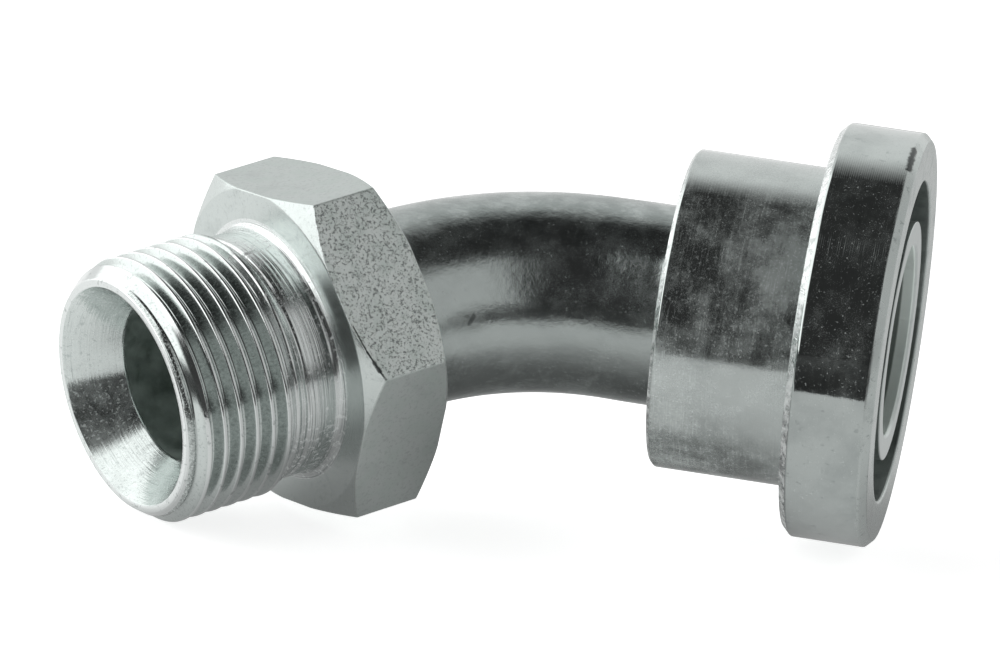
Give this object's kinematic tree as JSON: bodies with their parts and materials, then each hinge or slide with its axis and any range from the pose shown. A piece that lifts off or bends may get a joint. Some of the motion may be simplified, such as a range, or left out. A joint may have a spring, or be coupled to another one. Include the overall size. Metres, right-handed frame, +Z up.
{
  "type": "hydraulic elbow adapter",
  "caption": "Steel hydraulic elbow adapter, bent at 45 degrees, from a clamped flange head with a sealing groove to a male pipe thread with a cone seat.",
  "frame": {"origin": "centre of the flange's sealing face", "axes": "+X along the flange's axis, out of the sealing face; +Z up as the elbow lies at rest on its side; the threaded end points to -X and -Y"},
  "size_m": [0.08, 0.0585, 0.0423],
  "materials": {
    "plated_steel": "bright zinc plate over turned, bent and bar-skin steel"
  },
  "bodies": {
    "root": {"elbow": "plated_steel"}
  },
  "joints": []
}
